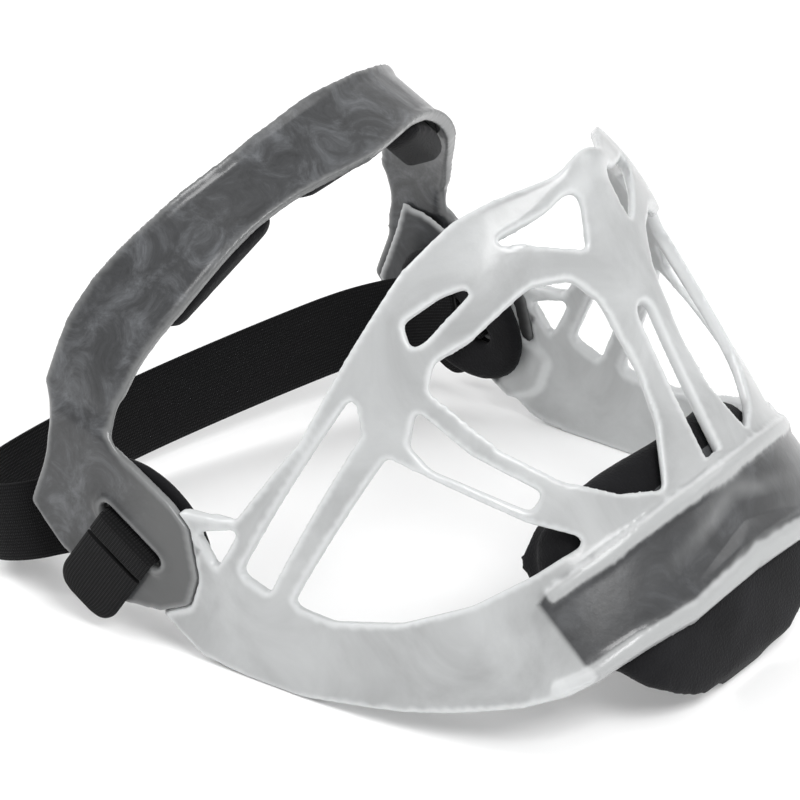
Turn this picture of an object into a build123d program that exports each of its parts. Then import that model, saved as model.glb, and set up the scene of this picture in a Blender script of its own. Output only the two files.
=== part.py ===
"""Softball fielder's face guard: a clear moulded face frame, a smoke forehead band, foam pads and a back strap.

The guard is drawn in its worn position, level on a head, and then laid back on its jaw rim, face up, as it rests
on a table. Local axes of the worn position: x to the wearer's left, y backward, z up. A size called "forward"
is measured from the line through the two strap slots, and "up" from the same line.
"""

from math import cos, radians, sin, tan
import os

from build123d import *

os.makedirs("parts", exist_ok=True)

# How the guard rests: the slot line above the table and behind the middle, and how far the face looks up
slot_line_height = 23.8
slot_line_back = 37.2
face_up_angle = 64.0

# Plan shape shared by the face frame and the forehead band: a rounded U with flat sides
half_width = 89.0
face_reach = 153.0
chin_drop = 136.5
side_power = 2.3
band_power = 2.2
plan_points = 13
back_reach = 60.0

# Face frame: its wall, how far forward its outer face stands at each height and how blunt the front is there
frame_wall = 4.0
frame_level_shares = (-1.07, -0.996, -0.916, -0.762, -0.549, -0.344, -0.256, -0.161, -0.07, 0.22)
frame_reach_shares = (0.366, 0.464, 0.542, 0.634, 0.752, 0.882, 0.941, 0.982, 0.993, 0.993)
frame_front_powers = (2.1, 2.1, 2.0, 1.75, 1.6, 1.55, 1.55, 1.55, 1.55, 1.55)
corner_round = 2.0
seam = 0.3
ridge_height = 1.4
ridge_width = 4.0
slit_width = 5.6
slit_top_share = -0.44
slit_foot_share = -0.76

# Outlines of the frame as shares of half width, face reach and chin drop: across, forward and up
under_eye_top_shares = (
    (0.000, 0.993, -0.151),
    (0.138, 0.971, -0.159),
    (0.273, 0.929, -0.116),
    (0.415, 0.868, -0.078),
    (0.576, 0.774, -0.067),
    (0.746, 0.634, -0.089),
    (0.887, 0.453, -0.116),
    (0.976, 0.235, -0.091),
)
cheek_strip_shares = (
    (0.976, 0.235, -0.091),
    (1.000, 0.210, -0.062),
    (1.000, 0.152, 0.043),
    (1.000, 0.135, -0.021),
)
slot_gap_shares = (
    (1.000, 0.140, -0.159),
    (1.000, 0.149, -0.239),
    (0.826, 0.530, -0.215),
    (0.794, 0.582, -0.149),
)
cheek_gap_shares = (
    (0.727, 0.616, -0.272),
    (0.771, 0.558, -0.307),
    (0.756, 0.542, -0.371),
    (0.622, 0.555, -0.578),
    (0.571, 0.584, -0.572),
    (0.671, 0.590, -0.414),
)
jaw_gap_shares = (
    (1.000, 0.171, -0.293),
    (0.815, 0.522, -0.284),
    (0.799, 0.524, -0.317),
    (0.638, 0.539, -0.596),
    (0.532, 0.552, -0.705),
    (0.707, 0.474, -0.665),
    (0.837, 0.390, -0.610),
    (0.931, 0.289, -0.513),
    (0.977, 0.199, -0.386),
)
front_gap_shares = (
    (0.686, 0.654, -0.268),
    (0.643, 0.699, -0.241),
    (0.554, 0.748, -0.268),
    (0.348, 0.842, -0.282),
    (0.223, 0.855, -0.325),
    (0.158, 0.828, -0.390),
    (0.135, 0.747, -0.531),
    (0.158, 0.691, -0.627),
    (0.249, 0.622, -0.734),
    (0.382, 0.612, -0.682),
    (0.514, 0.608, -0.580),
    (0.604, 0.615, -0.452),
    (0.673, 0.648, -0.299),
)
side_notch_shares = (
    (0.651, 0.719, -0.141),
    (0.557, 0.785, -0.167),
    (0.466, 0.824, -0.207),
    (0.640, 0.714, -0.200),
    (0.670, 0.695, -0.187),
)
nose_gap_shares = (
    (0.406, 0.872, -0.162),
    (0.205, 0.933, -0.206),
    (0.096, 0.962, -0.204),
    (0.091, 0.951, -0.229),
    (0.121, 0.897, -0.304),
    (0.147, 0.895, -0.299),
    (0.216, 0.901, -0.266),
    (0.318, 0.891, -0.211),
)
plate_notch_shares = (
    (1.000, 0.146, -0.030),
    (1.000, 0.220, -0.110),
    (1.000, 0.108, -0.110),
)
jaw_side_shares = (
    (1.000, -0.068, -0.044),
    (1.000, -0.084, -0.170),
    (1.000, -0.038, -0.321),
    (1.000, 0.007, -0.413),
    (0.984, 0.144, -0.619),
    (0.956, 0.212, -0.711),
    (0.885, 0.301, -0.824),
    (0.816, 0.350, -0.874),
)
chin_edge_shares = (
    (0.816, 0.350, -0.874),
    (0.715, 0.400, -0.909),
    (0.336, 0.476, -0.960),
    (0.000, 0.459, -1.000),
)
chin_ridge_shares = (
    (0.705, 0.461, -0.723),
    (0.544, 0.531, -0.751),
    (0.353, 0.585, -0.768),
    (0.124, 0.618, -0.780),
    (0.000, 0.608, -0.813),
)

# Forehead band and its temple plates: forward and up
band_reach = 100.0
band_wall = 3.2
band_top_shares = (
    (0.000, 0.654, 0.462),
    (0.516, 0.579, 0.436),
    (0.839, 0.390, 0.456),
    (0.979, 0.161, 0.396),
    (1.000, 0.058, 0.356),
)
band_foot_shares = (
    (0.972, 0.184, 0.232),
    (0.943, 0.250, 0.275),
    (0.860, 0.368, 0.287),
    (0.785, 0.437, 0.275),
    (0.520, 0.578, 0.287),
    (0.364, 0.621, 0.276),
    (0.000, 0.654, 0.234),
)
plate_shares = (
    (0.058, 0.356),
    (0.151, 0.377),
    (0.187, 0.231),
    (0.173, 0.201),
    (0.161, 0.049),
    (0.143, -0.011),
    (0.060, -0.083),
    (-0.007, -0.095),
    (-0.068, -0.044),
    (-0.126, 0.060),
    (-0.113, 0.230),
    (-0.075, 0.339),
)
plate_round = 3.0
rim_height = 1.0
rim_width = 2.4

# Ear: the frame's tab behind each temple plate
ear_wall = 2.5
ear_inset = 3.0
joggle_reach = 7.0
joggle_top = -2.0
joggle_front = 10.0

# Strap slots, long way up and down
slot_length = 25.0
slot_gap = 5.0
slot_forward = 5.4
slot_up = 12.9
slot_lean = 7.0

# Strap: a flat elastic run behind the head, an end loop through each slot and a hook tab folded back outside
strap_width = 22.0
strap_back_width = 25.0
strap_thickness = 2.0
strap_slope = 15.0
strap_clearance = 0.3
strap_reach = 70.0
strap_run_shares = (
    (1.000, 0.000),
    (0.987, 0.171),
    (0.937, 0.329),
    (0.795, 0.471),
    (0.568, 0.586),
    (0.284, 0.714),
    (-0.085, 0.857),
    (-0.455, 0.957),
    (-0.795, 1.000),
    (-1.023, 0.971),
    (-1.136, 0.829),
    (-1.108, 0.629),
    (-1.009, 0.500),
    (-0.966, 0.357),
    (-0.973, 0.171),
    (-1.000, 0.000),
)
strap_bend_share = 0.45
loop_leg = 7.0
loop_bend = 1.2
tab_corner = 8.0
tab_length = 22.0

# Pads: soft foam blocks, each on a hook-and-loop patch
patch_thickness = 1.0
patch_inset = 4.0
brow_pad_height = 24.0
brow_pad_up = 49.5
brow_pad_depth = 14.0
centre_pad_share = 0.494
side_pad_share = 0.517
side_pad_angle = 41.0
pad_corner = 6.0
crown_inset = 4.0
temple_pad_length = 50.0
temple_pad_width = 38.0
temple_pad_depth = 4.4
temple_pad_up = 12.6
temple_pad_forward = 4.4
temple_pad_crown = 1.2
pad_slot_length = 27.0
pad_slot_gap = 6.5
chin_pad_half_width = 53.0
chin_pad_half_height = 36.0
chin_pad_middle = -46.5
chin_pad_sight = -41.0
chin_pad_wall = 12.0
chin_pad_flange = 5.0
chin_pad_step = 4.0
chin_patch_half = 66.0
chin_patch_top = -98.0
chin_patch_foot = -127.0

overrun = 30.0
sight = 260.0

worn = Plane(
    origin=(0, slot_line_back, slot_line_height),
    x_dir=(1, 0, 0),
    z_dir=(0, sin(radians(face_up_angle)), cos(radians(face_up_angle))),
)


def at(x, forward, up):
    """A point of the worn guard, in the part's own frame."""
    return worn.from_local_coords(Vector(x, -forward, up))


def way(x, forward, up):
    """A direction of the worn guard, in the part's own frame."""
    return at(x, forward, up) - at(0, 0, 0)


def level(up):
    """A horizontal plane of the worn guard."""
    return worn.offset(up)


def facing(angle, distance=0):
    """An upright plane seen square from outside, turned from straight ahead towards the wearer's right."""
    turn = radians(angle)
    return Plane(
        origin=at(-distance * sin(turn), distance * cos(turn), 0),
        x_dir=way(cos(turn), sin(turn), 0),
        z_dir=way(-sin(turn), cos(turn), 0),
    )


def seen(angle, shares):
    """The points of an outline of the right half as they are seen in a facing plane."""
    turn = radians(angle)
    return [
        (-across * half_width * cos(turn) + forward * face_reach * sin(turn), up * chin_drop)
        for across, forward, up in shares
    ]


def plan_curve(width, reach, front_power, back_power):
    """Points of the rounded U from the right side round the front to the left side."""
    points = []
    for step in range(plan_points):
        turn = radians(180 * step / (plan_points - 1))
        side = -cos(turn)
        front = sin(turn)
        x = width * abs(side) ** (2 / front_power) * (1 if side > 0 else -1)
        y = -reach * front ** (2 / back_power)
        points.append((x, y))
    return points


def solid_u(levels, reaches, powers, back_power, width, back):
    """Fill the space inside the U through all the levels, from the back to the front."""
    sections = []
    for up, reach, front_power in zip(levels, reaches, powers):
        with BuildSketch(level(up)) as section:
            with BuildLine():
                curve = Spline(*plan_curve(width, reach, front_power, back_power), tangents=((0, -1), (0, 1)))
                Polyline(curve @ 1, (width, back), (-width, back), curve @ 0)
            make_face()
        sections.append(section.sketch)
    with BuildPart() as filled:
        loft(sections=sections)
    return filled.part


def frame_u(inward, past):
    """The space inside the frame's outer face, drawn in by a distance and run on past the ends by another."""
    levels = [share * chin_drop for share in frame_level_shares]
    reaches = [share * face_reach - inward for share in frame_reach_shares]
    powers = list(frame_front_powers)
    if past:
        levels = [levels[0] - past] + levels + [levels[-1] + past]
        reaches = [reaches[0]] + reaches + [reaches[-1]]
        powers = [powers[0]] + powers + [powers[-1]]
    return solid_u(levels, reaches, powers, side_power, half_width - inward, back_reach + past)


def band_u(inward, past):
    """The space inside the forehead band's outer face, drawn in and run on past the ends."""
    levels = (plate_bottom - overrun - past, band_top + overrun + past)
    reaches = (band_reach - inward, band_reach - inward)
    return solid_u(levels, reaches, (band_power, band_power), band_power, half_width - inward, back_reach + past)


def prism(angle, points, rounding):
    """Everything in front of a facing plane within an outline seen in that plane."""
    with BuildPart() as block:
        with BuildSketch(facing(angle)):
            with BuildLine():
                if rounding:
                    FilletPolyline(*points, radius=rounding, close=True)
                else:
                    Polyline(*points, close=True)
            make_face()
        extrude(amount=sight)
    return block.part


def edge_band(angle, points, width):
    """A prism that follows a line seen in a facing plane, with the given width."""
    with BuildPart() as block:
        with BuildSketch(facing(angle)):
            with BuildLine() as path:
                Polyline(*points)
            trace(path.line, line_width=width)
        extrude(amount=sight)
    return block.part


def side_points(shares):
    """Points of an outline given only forward and up, seen from the wearer's right."""
    return [(forward * face_reach, up * chin_drop) for forward, up in shares]


band_top = max(up for across, forward, up in band_top_shares) * chin_drop
plate_bottom = min(up for forward, up in plate_shares) * chin_drop
plate_points = side_points(plate_shares)

# Face frame: the U-shaped wall, trimmed and pierced on the right half, then mirrored
top_line = seen(45, under_eye_top_shares)
strip_line = seen(90, cheek_strip_shares)
jaw_line = seen(75, jaw_side_shares)
chin_line = seen(45, chin_edge_shares)
frame_top = frame_level_shares[-1] * chin_drop
frame_foot = frame_level_shares[0] * chin_drop

above = top_line + [(top_line[-1][0], frame_top + overrun), (top_line[0][0] + overrun, frame_top + overrun)]
above = above + [(top_line[0][0] + overrun, top_line[0][1])]
beside = strip_line + [(-back_reach - overrun, strip_line[-1][1]), (-back_reach - overrun, frame_top + overrun)]
beside = beside + [(strip_line[0][0] + overrun, frame_top + overrun), (strip_line[0][0] + overrun, strip_line[0][1])]
behind = jaw_line + [(jaw_line[-1][0], frame_foot - overrun), (-back_reach - overrun, frame_foot - overrun)]
behind = behind + [(-back_reach - overrun, frame_top), (jaw_line[0][0], frame_top)]
below = chin_line + [(chin_line[-1][0] + overrun, chin_line[-1][1])]
below = below + [(chin_line[-1][0] + overrun, frame_foot - overrun), (chin_line[0][0], frame_foot - overrun)]
slit_top = slit_top_share * chin_drop
slit_foot = slit_foot_share * chin_drop
slit = [(-slit_width / 2, slit_foot), (slit_width / 2, slit_foot), (slit_width / 2, slit_top), (-slit_width / 2, slit_top)]

frame_outside = frame_u(0, 0)
frame_inside = frame_u(frame_wall, overrun)
frame_trims = [prism(45, above, 0), prism(90, beside, 0), prism(75, behind, 0), prism(45, below, 0)]
frame_gaps = [
    prism(85, seen(85, slot_gap_shares), corner_round),
    prism(55, seen(55, cheek_gap_shares), corner_round / 2),
    prism(70, seen(70, jaw_gap_shares), corner_round),
    prism(25, seen(25, front_gap_shares), corner_round),
    prism(45, seen(45, side_notch_shares), corner_round / 2),
    prism(10, seen(10, nose_gap_shares), corner_round / 2),
    prism(90, seen(90, plate_notch_shares), corner_round / 2),
    prism(0, slit, corner_round),
]


def side_block(inner, outer, outline, rounding, growth):
    """A slab beside the right temple between two distances from the middle, from an outline seen from the side."""
    with BuildPart() as slab:
        with BuildSketch(facing(90).offset(inner)):
            with BuildLine():
                FilletPolyline(*outline, radius=rounding, close=True)
            make_face()
            if growth:
                offset(amount=growth)
        extrude(amount=outer - inner)
    return slab.part


def slot_block(inner, outer, long, gap):
    """A slab beside the right temple with the outline of a round-ended slot, leaning as the strap slot does."""
    with BuildPart() as slab:
        with BuildSketch(facing(90).offset(inner)):
            with Locations((slot_forward, slot_up)):
                SlotOverall(long, gap, rotation=90 - slot_lean)
        extrude(amount=outer - inner)
    return slab.part


# Raised ribs of the chin wall: one along its top, one along its foot
rib_shell = frame_u(-ridge_height, 0)
rib_heart = frame_u(frame_wall / 2, overrun)
rib_top_line = seen(45, chin_ridge_shares)
rib_top_line = rib_top_line + [(rib_top_line[-1][0] + overrun, rib_top_line[-1][1])]
rib_foot_line = [(across, up + ridge_width / 2) for across, up in chin_line]
rib_foot_line = rib_foot_line + [(rib_foot_line[-1][0] + overrun, rib_foot_line[-1][1])]
frame_ribs = []
for rib_line in (rib_top_line, rib_foot_line):
    with BuildPart() as rib:
        add(rib_shell)
        add(rib_heart, mode=Mode.SUBTRACT)
        add(edge_band(45, rib_line, ridge_width), mode=Mode.INTERSECT)
        split(bisect_by=Plane.YZ, keep=Keep.BOTTOM)
    frame_ribs.append(rib.part)

# Ear of the frame: a thinner tab behind the temple plate, stepped in from the wall below it
ear_outer = half_width - band_wall - seam
ear_inner = ear_outer - ear_wall
plate_cut = side_block(0, sight, plate_points, plate_round, seam)
ear = side_block(ear_inner, ear_outer, plate_points, plate_round, -ear_inset)
joggle = side_block(ear_inner, half_width - frame_wall + seam, plate_points, plate_round, joggle_reach)
joggle_limits = [
    (-face_reach, joggle_top),
    (joggle_front, joggle_top),
    (joggle_front, plate_bottom - overrun),
    (-face_reach, plate_bottom - overrun),
]
joggle_keep = prism(90, joggle_limits, 0)
strap_slot = slot_block(0, sight, slot_length, slot_gap)
band_clearance = band_u(band_wall + seam, 0)
with BuildPart() as ear_tab:
    add(ear)
    add(band_clearance, mode=Mode.INTERSECT)
with BuildPart() as ear_step:
    add(joggle)
    add(joggle_keep, mode=Mode.INTERSECT)
    add(side_block(ear_outer, sight, plate_points, plate_round, seam), mode=Mode.SUBTRACT)

# The face frame itself: one half, then its mirror image
with BuildPart() as frame:
    add(frame_outside)
    add(frame_inside, mode=Mode.SUBTRACT)
    split(bisect_by=Plane.YZ, keep=Keep.BOTTOM)
    for rib_part in frame_ribs:
        add(rib_part)
    for tool in frame_trims + frame_gaps:
        add(tool, mode=Mode.SUBTRACT)
    add(plate_cut, mode=Mode.SUBTRACT)
    add(ear_tab.part)
    add(ear_step.part)
    for tool in frame_trims[2:3]:
        add(tool, mode=Mode.SUBTRACT)
    add(strap_slot, mode=Mode.SUBTRACT)
    mirror(about=Plane.YZ)
    split(bisect_by=Plane.XY, keep=Keep.TOP)
frame.part.label = "face_frame"
print("face_frame", frame.part.volume, len(frame.part.solids()), frame.part.is_valid)
export_step(frame.part, "parts/face_frame.step")

# Forehead band: a ring across the brow that ends in a plate over each temple, with a raised rim round each slot
band_outline = seen(45, band_top_shares) + seen(45, band_foot_shares)
band_outline = [(band_outline[0][0] + overrun, band_outline[0][1])] + band_outline
band_outline = band_outline + [(band_outline[-1][0] + overrun, band_outline[-1][1])]
band_block = prism(45, band_outline, 0)
band_outside = band_u(0, 0)
band_inside = band_u(band_wall, overrun)
plate_wall = side_block(half_width - band_wall, half_width, plate_points, plate_round, 0)
slot_rim = slot_block(half_width - band_wall / 2, half_width + rim_height, slot_length + 2 * rim_width,
                      slot_gap + 2 * rim_width)
with BuildPart() as band:
    add(band_outside)
    add(band_inside, mode=Mode.SUBTRACT)
    split(bisect_by=Plane.YZ, keep=Keep.BOTTOM)
    add(band_block, mode=Mode.INTERSECT)
    add(plate_wall)
    add(slot_rim)
    add(strap_slot, mode=Mode.SUBTRACT)
    mirror(about=Plane.YZ)
band.part.label = "forehead_band"
print("forehead_band", band.part.volume, len(band.part.solids()), band.part.is_valid)
export_step(band.part, "parts/forehead_band.step")


def pad_loft(plane, length, height, depth, corner):
    """A foam block with drawn-in sides and a crowned inner face, from behind its patch towards the head."""
    with BuildPart() as block:
        with BuildSketch(plane.offset(overrun)):
            RectangleRounded(length - crown_inset, height - crown_inset, corner)
        with BuildSketch(plane.offset(-depth / 2)):
            RectangleRounded(length, height, corner)
        with BuildSketch(plane.offset(-depth)):
            RectangleRounded(length - 2 * crown_inset, height - 2 * crown_inset, corner)
        loft(ruled=True)
    return block.part


# Forehead pads: the centre one and one on each side, each on a patch inside the band
patch_inner = band_u(band_wall + seam + patch_thickness, overrun)
pad_outer = band_u(band_wall + 2 * seam + patch_thickness, 0)


def brow_plane(angle, reach):
    """A facing plane moved up to the middle of the forehead pads and out to a distance."""
    base = facing(angle).offset(reach)
    return Plane(origin=base.origin + way(0, 0, brow_pad_up), x_dir=base.x_dir, z_dir=base.z_dir)


def brow_patch(plane, length, height):
    """A thin patch that follows the inside of the band."""
    with BuildPart() as block:
        with BuildSketch(plane.offset(-overrun)):
            RectangleRounded(length, height, pad_corner)
        extrude(amount=2 * overrun)
    with BuildPart() as patch:
        add(band_clearance)
        add(patch_inner, mode=Mode.SUBTRACT)
        add(block.part, mode=Mode.INTERSECT)
    return patch.part


centre_pad_length = centre_pad_share * half_width
side_pad_length = side_pad_share * half_width
centre_plane = brow_plane(0, band_reach - band_wall - patch_thickness - seam)
side_turn = radians(side_pad_angle)
side_reach = (
    (half_width * abs(sin(side_turn))) ** (band_power / (band_power - 1))
    + (band_reach * cos(side_turn)) ** (band_power / (band_power - 1))
) ** ((band_power - 1) / band_power)
side_plane = brow_plane(side_pad_angle, side_reach - band_wall - patch_thickness - seam)
side_across = -half_width ** (band_power / (band_power - 1)) * sin(side_turn) ** (1 / (band_power - 1))
side_across = side_across / side_reach ** (1 / (band_power - 1))
side_front = band_reach ** (band_power / (band_power - 1)) * cos(side_turn) ** (1 / (band_power - 1))
side_front = side_front / side_reach ** (1 / (band_power - 1))
side_shift = side_across * cos(side_turn) + side_front * sin(side_turn)
side_plane = Plane(
    origin=side_plane.origin + side_plane.x_dir * side_shift, x_dir=side_plane.x_dir, z_dir=side_plane.z_dir
)

centre_block = pad_loft(centre_plane, centre_pad_length, brow_pad_height, brow_pad_depth, pad_corner)
side_block_right = pad_loft(side_plane, side_pad_length, brow_pad_height, brow_pad_depth, pad_corner)
centre_patch_part = brow_patch(centre_plane, centre_pad_length - patch_inset * 2, brow_pad_height - patch_inset * 2)
side_patch_part = brow_patch(side_plane, side_pad_length - patch_inset * 2, brow_pad_height - patch_inset * 2)

with BuildPart() as forehead_pad_centre:
    add(centre_block)
    add(pad_outer, mode=Mode.INTERSECT)
forehead_pad_centre.part.label = "forehead_pad_centre"
export_step(forehead_pad_centre.part, "parts/forehead_pad_centre.step")

with BuildPart() as forehead_pad_right:
    add(side_block_right)
    add(pad_outer, mode=Mode.INTERSECT)
forehead_pad_right.part.label = "forehead_pad_right"
export_step(forehead_pad_right.part, "parts/forehead_pad_right.step")

with BuildPart() as forehead_pad_left:
    add(forehead_pad_right.part.mirror(Plane.YZ))
forehead_pad_left.part.label = "forehead_pad_left"
export_step(forehead_pad_left.part, "parts/forehead_pad_left.step")

with BuildPart() as forehead_patch_centre:
    add(centre_patch_part)
forehead_patch_centre.part.label = "forehead_patch_centre"
export_step(forehead_patch_centre.part, "parts/forehead_patch_centre.step")

with BuildPart() as forehead_patch_right:
    add(side_patch_part)
forehead_patch_right.part.label = "forehead_patch_right"
export_step(forehead_patch_right.part, "parts/forehead_patch_right.step")

with BuildPart() as forehead_patch_left:
    add(side_patch_part.mirror(Plane.YZ))
forehead_patch_left.part.label = "forehead_patch_left"
export_step(forehead_patch_left.part, "parts/forehead_patch_left.step")

# Temple pads: an oval pad with a slot for the strap, on a patch stuck to the ear
temple_patch_outer = ear_inner
temple_patch_inner = ear_inner - patch_thickness
temple_pad_inner = temple_patch_inner - temple_pad_depth
pad_slot = slot_block(0, half_width, pad_slot_length, pad_slot_gap)


def oval_sketch(distance, inset):
    """An oval beside the right temple, drawn in by a given distance."""
    with BuildSketch(facing(90).offset(distance)) as oval:
        with Locations((temple_pad_forward, temple_pad_up)):
            Ellipse(temple_pad_width / 2 - inset, temple_pad_length / 2 - inset, rotation=-slot_lean)
    return oval.sketch


with BuildPart() as temple_pad_right:
    loft(
        sections=[
            oval_sketch(temple_patch_inner, temple_pad_crown),
            oval_sketch(temple_patch_inner - temple_pad_depth / 2, 0),
            oval_sketch(temple_pad_inner, 2 * temple_pad_crown),
        ],
        ruled=True,
    )
    add(pad_slot, mode=Mode.SUBTRACT)
temple_pad_right.part.label = "temple_pad_right"
export_step(temple_pad_right.part, "parts/temple_pad_right.step")

with BuildPart() as temple_pad_left:
    add(temple_pad_right.part.mirror(Plane.YZ))
temple_pad_left.part.label = "temple_pad_left"
export_step(temple_pad_left.part, "parts/temple_pad_left.step")

with BuildPart() as temple_patch_right:
    extrude(oval_sketch(temple_patch_inner, patch_inset), amount=patch_thickness)
    add(pad_slot, mode=Mode.SUBTRACT)
temple_patch_right.part.label = "temple_patch_right"
export_step(temple_patch_right.part, "parts/temple_patch_right.step")

with BuildPart() as temple_patch_left:
    add(temple_patch_right.part.mirror(Plane.YZ))
temple_patch_left.part.label = "temple_patch_left"
export_step(temple_patch_left.part, "parts/temple_patch_left.step")

# Chin: a thin liner patch inside the chin wall, and a foam cup that goes under the chin
liner_outside = frame_u(frame_wall + seam, overrun - seam)
liner_inside = frame_u(frame_wall + seam + patch_thickness, overrun)
cup_outside = frame_u(frame_wall + 2 * seam + patch_thickness, overrun - seam)
cup_step = frame_u(frame_wall + 2 * seam + patch_thickness + chin_pad_flange, overrun)
cup_crown = frame_u(frame_wall + 2 * seam + patch_thickness + chin_pad_flange - seam, overrun - seam)
cup_inside = frame_u(frame_wall + 2 * seam + patch_thickness + chin_pad_wall, overrun)
liner_outline = [
    (-chin_patch_half, chin_patch_top),
    (chin_patch_half, chin_patch_top),
    (chin_patch_half, chin_patch_foot),
    (-chin_patch_half, chin_patch_foot),
]
liner_block = prism(0, liner_outline, pad_corner)
cup_turn = radians(chin_pad_sight)
cup_plane = Plane(origin=at(0, 0, 0), x_dir=(1, 0, 0), z_dir=way(0, cos(cup_turn), sin(cup_turn)))


def cup_block(inset):
    """Everything in front of the chin within an oval seen from in front and below, drawn in by a distance."""
    with BuildPart() as block:
        with BuildSketch(cup_plane):
            with Locations((0, chin_pad_middle)):
                Ellipse(chin_pad_half_width - inset, chin_pad_half_height - inset)
        extrude(amount=sight)
    return block.part


cup_rim = cup_block(0)
cup_middle = cup_block(chin_pad_step)
with BuildPart() as cup_crown_part:
    add(cup_crown)
    add(cup_inside, mode=Mode.SUBTRACT)
    add(cup_middle, mode=Mode.INTERSECT)

with BuildPart() as chin_patch:
    add(liner_outside)
    add(liner_block, mode=Mode.INTERSECT)
    add(liner_inside, mode=Mode.SUBTRACT)
chin_patch.part.label = "chin_patch"
print("chin_patch", chin_patch.part.volume, len(chin_patch.part.solids()), chin_patch.part.is_valid)
export_step(chin_patch.part, "parts/chin_patch.step")

with BuildPart() as chin_pad:
    add(cup_outside)
    add(cup_step, mode=Mode.SUBTRACT)
    add(cup_rim, mode=Mode.INTERSECT)
    add(cup_crown_part.part)
    split(bisect_by=Plane.XY, keep=Keep.TOP)
chin_pad.part.label = "chin_pad"
print("chin_pad", chin_pad.part.volume, len(chin_pad.part.solids()), chin_pad.part.is_valid)
export_step(chin_pad.part, "parts/chin_pad.step")

# Strap: the elastic run behind the head swings about the line through the slots
pivot = at(0, slot_forward, slot_up)
strap_side = temple_pad_inner - strap_clearance
strap_run = [(across * strap_side, back * strap_reach) for across, back in strap_run_shares]
strap_plane = Plane(
    origin=pivot,
    x_dir=(1, 0, 0),
    z_dir=(0, sin(radians(strap_slope)), cos(radians(strap_slope))),
)


def easy_radii(points):
    """Bend radii for a path, each as large as its two runs allow."""
    radii = []
    for before, here, after in zip(points, points[1:], points[2:]):
        into = Vector(*here) - Vector(*before)
        out = Vector(*after) - Vector(*here)
        bend = radians(into.get_angle(out))
        radii.append(strap_bend_share * min(into.length, out.length) / tan(bend / 2))
    return radii


with BuildPart() as strap_back:
    with BuildSketch(strap_plane.offset(-strap_back_width / 2)):
        with BuildLine() as strap_path:
            FilletPolyline(*strap_run, radius=easy_radii(strap_run))
            offset(amount=strap_thickness, side=Side.LEFT, closed=True)
        make_face()
    extrude(amount=strap_back_width)
strap_back.part.label = "strap_back"
print("strap_back", strap_back.part.volume, len(strap_back.part.solids()), strap_back.part.is_valid)
export_step(strap_back.part, "parts/strap_back.step")

# End loops: each passes out through pad, patch, ear and plate and turns back over the plate's outer face
loop_inner = half_width + rim_height + strap_clearance
lean = radians(slot_lean)
slot_across = way(0, cos(lean), -sin(lean))
loop_plane = Plane(origin=pivot, x_dir=slot_across, z_dir=slot_across.cross(way(-1, 0, 0)))
loop_end = -loop_leg
with BuildPart() as strap_loop_right:
    with BuildSketch(loop_plane.offset(-strap_width / 2)):
        with BuildLine():
            FilletPolyline(
                (-strap_thickness / 2, temple_pad_inner),
                (-strap_thickness / 2, loop_inner),
                (loop_end, loop_inner),
                radius=loop_bend,
            )
            offset(amount=strap_thickness, side=Side.RIGHT, closed=True)
        make_face()
        with Locations((loop_end, loop_inner + strap_thickness / 2)):
            Circle(strap_thickness / 2)
    extrude(amount=strap_width)
strap_loop_right.part.label = "strap_loop_right"
export_step(strap_loop_right.part, "parts/strap_loop_right.step")

with BuildPart() as strap_loop_left:
    add(strap_loop_right.part.mirror(Plane.YZ))
strap_loop_left.part.label = "strap_loop_left"
export_step(strap_loop_left.part, "parts/strap_loop_left.step")

# Hook tabs: flaps that lie back over the temple plates and peel open about a rounded root
tab_root = loop_end - strap_clearance - strap_thickness
with BuildPart() as strap_tab_right:
    with BuildSketch(loop_plane.offset(-strap_width / 2)):
        with Locations((tab_root, loop_inner + strap_thickness / 2)):
            Circle(strap_thickness / 2)
        with Locations((tab_root - tab_length / 2, loop_inner + strap_thickness / 2)):
            Rectangle(tab_length, strap_thickness)
    extrude(amount=strap_width)
    tip_edges = strap_tab_right.edges().filter_by(Axis.X).sort_by(Axis(pivot, -slot_across))[-2:]
    fillet(tip_edges, radius=tab_corner)
strap_tab_right.part.label = "strap_tab_right"
export_step(strap_tab_right.part, "parts/strap_tab_right.step")

with BuildPart() as strap_tab_left:
    add(strap_tab_right.part.mirror(Plane.YZ))
strap_tab_left.part.label = "strap_tab_left"
export_step(strap_tab_left.part, "parts/strap_tab_left.step")

hinge_point = loop_plane.from_local_coords(Vector(tab_root, loop_inner + strap_thickness / 2))
print("pivot", pivot, "tab hinge", hinge_point, "axis", loop_plane.z_dir)
print("strap bend radii", [round(radius, 1) for radius in easy_radii(strap_run)])
for piece in (frame, band, chin_patch, chin_pad, strap_back, strap_loop_right, strap_tab_right):
    print(piece.part.label, piece.part.bounding_box())
whole = Compound([solid for piece in (frame, band, chin_pad, strap_back, strap_tab_right, strap_tab_left)
                  for solid in piece.part.solids()])
print("box", whole.bounding_box())
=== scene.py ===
"""Softball fielder's face guard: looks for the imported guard, in metres, in the frame of its CAD model."""

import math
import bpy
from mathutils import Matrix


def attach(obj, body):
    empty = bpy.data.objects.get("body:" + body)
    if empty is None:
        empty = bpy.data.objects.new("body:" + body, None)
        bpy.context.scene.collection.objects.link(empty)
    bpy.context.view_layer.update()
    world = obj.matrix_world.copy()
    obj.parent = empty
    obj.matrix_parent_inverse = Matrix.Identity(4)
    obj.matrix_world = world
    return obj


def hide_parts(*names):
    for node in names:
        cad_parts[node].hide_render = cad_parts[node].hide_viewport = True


bl_info = {
    "name": "Softball Face Guard",
    "version": (1, 0, 0),
    "blender": (4, 5, 0),
    "location": "3D View > Sidebar > Face Guard",
    "description": "Dresses a clear moulded face guard with foam pads and a woven elastic strap",
    "category": "Object",
}

import bmesh
import bpy
import numpy as np
from mathutils import Vector

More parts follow.
